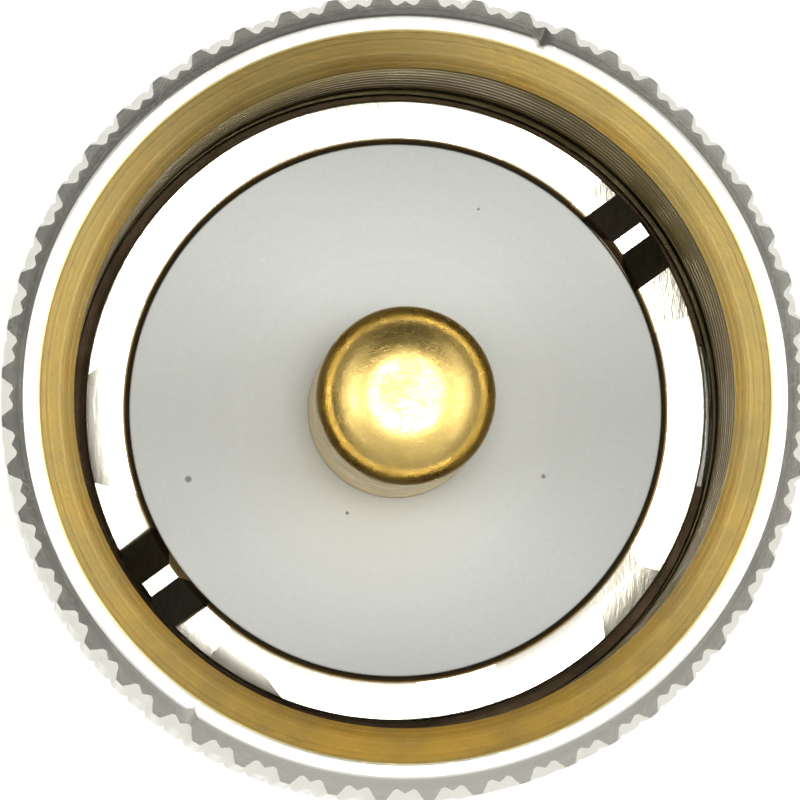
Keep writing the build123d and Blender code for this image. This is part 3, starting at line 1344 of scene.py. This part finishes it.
@dataclass
class BraidClamp(Piece):
    """The cone that the cable's braid folds over, with a wedge edge towards the gasket."""

    bore_radius: float = 4.2
    cone_radius: float = 4.9
    cone_length: float = 1.6
    wedge_height: float = 1.0
    wedge_width: float = 0.5

    def corners(self) -> Profile:
        """Draw the clamp's half section, with its wedge over the middle of the gasket's wall.

        Returns:
            The corners.
        """
        seat, half = self.bottom() + self.wedge_height, self.wedge_width / 2
        middle = (solid_reach("washer") - Gasket.wall + solid_reach("gasket")) / 2
        return [
            (self.bore_radius, seat),
            (middle - half, seat),
            (middle, self.bottom()),
            (middle + half, seat),
            (self.reach(), seat),
            (self.reach(), self.top() - self.cone_length),
            (self.cone_radius, self.top()),
            (self.bore_radius, self.top()),
        ]


@dataclass
class Gasket(Piece):
    """The rubber ring with a V groove that takes the wedge."""

    wall: float = 0.85
    fit: float = 0.05

    def corners(self) -> Profile:
        """Draw the gasket's half section, a plain ring with the groove cut into its top.

        Returns:
            The corners.
        """
        ring = self.band(self.reach() - self.wall)
        middle, top = self.reach() - self.wall / 2, self.top()
        half = BraidClamp.wedge_width / 2 + self.fit
        groove = (middle, top - BraidClamp.wedge_height - self.fit)
        return [*ring[:3], (middle + half, top), groove, (middle - half, top), ring[3]]


@dataclass
class Washer(Piece):
    """The plain washer between gasket and clamp nut, as wide as the gasket."""

    def corners(self) -> Profile:
        """Corners of the washer's half section."""
        return self.band(self.reach() - Gasket.wall)


@dataclass
class ClampNut(Piece):
    """The hexagon-headed nut that closes the rear end, bored for the cable."""

    bore_radius: float = 5.5
    shank_radius: float = 6.5
    flat_radius: float = 7.0
    head_radius: float = 7.8
    head_length: float = 5.0
    edge_break: float = 0.3

    def angles(self) -> list[float]:
        """Find the even angles, and those at which a flat of the hexagon meets the turned corners.

        Returns:
            All of them in rising order.
        """
        half = acos(self.flat_radius / self.head_radius)
        middles = [radians(30 + 60 * side) for side in range(6)]
        return full_turn(self.segments, [middle + way * half for middle in middles for way in (-1, 1)])

    def outline(self, angle: float) -> Profile:
        """Draw the nut's half section, whose head follows the hexagon inside the turned bevels.

        Args:
            angle: Place round the nut.

        Returns:
            The corners.
        """
        away = angle % (pi / 3) - pi / 6
        head = min(self.flat_radius / cos(away), self.head_radius)
        bevel = (head - self.flat_radius) / 2
        edge, top = self.edge_break, self.top()
        return [
            (self.bore_radius + edge, 0.0),
            (self.flat_radius, 0.0),
            (head, bevel),
            (head, self.head_length - bevel),
            (self.flat_radius, self.head_length),
            (self.shank_radius, self.head_length),
            (self.shank_radius, top - edge),
            (self.shank_radius - edge, top),
            (self.bore_radius, top),
            (self.bore_radius, edge),
        ]


@dataclass(frozen=True)
class Lamp:
    """A soft square lamp of the studio, with the way towards it as azimuth and tilt."""

    name: str
    towards: Point
    distance: float
    side: float
    brightness: float

    def make(self, target: Vector) -> None:
        """Set the lamp up, aimed at a point.

        Args:
            target: The point that it lights, in metres.
        """
        away = direction(*self.towards)
        data = bpy.data.lights.new(self.name, "AREA")
        data.size = self.side
        data.energy = self.brightness * pi * self.side ** 2
        lamp = bpy.data.objects.new(self.name, data)
        lamp.location = target + away * self.distance
        lamp.rotation_mode = "QUATERNION"
        lamp.rotation_quaternion = away.to_track_quat("Z", "Y")
        lamp.visible_camera = False
        bpy.context.scene.collection.objects.link(lamp)


@dataclass
class Studio:
    """The table, the lamps, the dim room round them, and the camera at the photograph's angle."""

    lens: float = 708.0
    sensor: float = 36.0
    distance: float = 0.35
    lean_left: float = 1.4
    lean_down: float = 1.9
    rim_place: Point = (405.6, 396.5)
    picture: float = 800.0
    seen: Point = (0.01, 10.0)
    table_side: float = 1.6
    table_gap: float = 0.00002
    sky: tuple[tuple[float, str], ...] = ((0, "5C5A56"), (0.25, "7C7B78"), (0.6, "BDBDBA"), (1, "EEEEEC"))
    frontal_span: Point = (-1.4, 1.4)
    frontal_share: Point = (0.7, 1.5)
    panel: Point = (90.0, 46.0)
    panel_edge: Point = (0.8, 0.93)
    panel_share: float = 0.3
    wing_edge: Point = (0.45, 0.8)
    wing_height: Point = (0.25, 0.5)
    wing_glow: float = 1.1
    front_edge: Point = (-0.5, -1.0)
    front_glow: float = 0.36
    lamps: tuple[Lamp, ...] = (
        Lamp("overhead_softbox", (0.0, 0.0), 1.0, 0.14, 46.0),
        Lamp("left_softbox", (180.0, 34.0), 0.75, 0.3, 2.8),
        Lamp("right_softbox", (0.0, 34.0), 0.75, 0.3, 2.8),
    )

    def aim(self) -> Vector:
        """The middle of the nut's rim, in metres."""
        return Vector((0.0, 0.0, solid_high("coupling_nut") * MM))

    def add_camera(self) -> None:
        """Set the camera so that the rim's middle comes to its place in the picture."""
        data = bpy.data.cameras.new("camera")
        data.lens = self.lens
        data.sensor_width = self.sensor
        data.clip_start, data.clip_end = self.seen
        camera = bpy.data.objects.new("camera", data)
        back = Vector((-tan(radians(self.lean_left)), -tan(radians(self.lean_down)), 1.0)).normalized()
        right = Vector((0.0, 1.0, 0.0)).cross(back).normalized()
        up = back.cross(right)
        camera.rotation_mode = "QUATERNION"
        camera.rotation_quaternion = Matrix((right, up, back)).transposed().to_quaternion()
        pixel = self.sensor / self.lens * self.distance / self.picture
        across = (self.picture / 2 - self.rim_place[0]) * pixel
        along = (self.rim_place[1] - self.picture / 2) * pixel
        camera.location = self.aim() + back * self.distance + right * across + up * along
        bpy.context.scene.collection.objects.link(camera)
        bpy.context.scene.camera = camera

    def add_table(self) -> None:
        """Lay the white paper that the plug stands on."""
        half = self.table_side / 2
        mesh = bmesh.new()
        corners = [(-half, -half), (half, -half), (half, half), (-half, half)]
        mesh.faces.new([mesh.verts.new((x, y, -self.table_gap)) for x, y in corners])
        table = as_object(mesh, "table_paper")
        table.data.materials.append(TABLE_PAPER.material())

    def add_room(self) -> None:
        """Make the room: dim low down, lighter above, in front and at both sides, with a dark panel."""
        world = bpy.data.worlds.new("studio_room")
        world.use_nodes = True
        tree = world.node_tree
        tree.nodes.clear()
        way = add_node(tree, "ShaderNodeTexCoord").outputs["Generated"]
        across, deep, height = add_node(tree, "ShaderNodeSeparateXYZ", (way,)).outputs
        ramp = add_node(tree, "ShaderNodeValToRGB", (height,))
        stops = ramp.color_ramp.elements
        lowest, *between, highest = self.sky
        stops[0].color, stops[1].color = linear(lowest[1]), linear(highest[1])
        for place, colour in between:
            stops.new(place).color = linear(colour)
        skew = add_node(tree, "ShaderNodeMath", (across, deep), operation="SUBTRACT")
        share = add_node(tree, "ShaderNodeMapRange", (skew, *self.frontal_span, *self.frontal_share))
        to_panel = (way, direction(*self.panel))
        panel = add_node(tree, "ShaderNodeVectorMath", to_panel, operation="DOT_PRODUCT").outputs["Value"]
        shaded = add_node(tree, "ShaderNodeMapRange", (panel, *self.panel_edge, 1.0, self.panel_share))
        strength = add_node(tree, "ShaderNodeMath", (share, shaded), operation="MULTIPLY")
        lit = add_node(tree, "ShaderNodeVectorMath", (ramp, strength), operation="MULTIPLY")
        sideways = add_node(tree, "ShaderNodeMath", (across,), operation="ABSOLUTE")
        wing = add_node(tree, "ShaderNodeMapRange", (sideways, *self.wing_edge, 0.0, self.wing_glow))
        above = add_node(tree, "ShaderNodeMapRange", (height, *self.wing_height, 0.0, 1.0))
        front = add_node(tree, "ShaderNodeMapRange", (deep, *self.front_edge, 0.0, self.front_glow))
        glow = add_node(tree, "ShaderNodeMath", (wing, above, front), operation="MULTIPLY_ADD")
        whole = add_node(tree, "ShaderNodeVectorMath", (lit, glow), operation="ADD")
        sky = add_node(tree, "ShaderNodeBackground", {"Color": whole, "Strength": 1.0})
        add_node(tree, "ShaderNodeOutputWorld", {"Surface": sky})
        bpy.context.scene.world = world

    def make(self) -> None:
        """Set up the whole studio, with colours shown as they are."""
        self.add_camera()
        self.add_table()
        self.add_room()
        for lamp in self.lamps:
            lamp.make(self.aim())
        bpy.context.scene.view_settings.view_transform = "Standard"


PIECES: tuple[Piece, ...] = (
    PlugBody(node="body", finishes=(BRIGHT_NICKEL, MILLED_NICKEL), ease=0.05),
    CouplingNut(node="coupling_nut", body=Body.NUT, finishes=(BRIGHT_NICKEL, CUT_BRASS), crease=24.0),
    FrontInsulator(
        node="front_insulator", slot=Slot.FLUOROPOLYMER, finishes=(WHITE_FLUOROPOLYMER,), ease=0.05
    ),
    CentreContact(node="centre_contact", slot=Slot.GOLD, finishes=(SATIN_GOLD,)),
    RearInsulator(node="rear_insulator", slot=Slot.FLUOROPOLYMER, finishes=(WHITE_FLUOROPOLYMER,)),
    SnapRing(node="snap_ring", body=Body.RETAINER, slot=Slot.BRONZE, finishes=(SPRING_BRONZE,)),
    BraidClamp(node="braid_clamp", slot=Slot.BRASS, finishes=(BARE_BRASS,)),
    Gasket(node="gasket", slot=Slot.RUBBER, finishes=(BLACK_RUBBER,)),
    Washer(node="washer", slot=Slot.BRASS, finishes=(BARE_BRASS,)),
    ClampNut(node="clamp_nut", finishes=(BRIGHT_NICKEL,), ease=0.08),
)


def main() -> None:
    """Build the studio and every piece, and report each piece."""
    logging.basicConfig(level=logging.INFO, format="%(name)s: %(message)s")
    Studio().make()
    for piece in PIECES:
        piece.make()


if __name__ == "__main__":
    main()
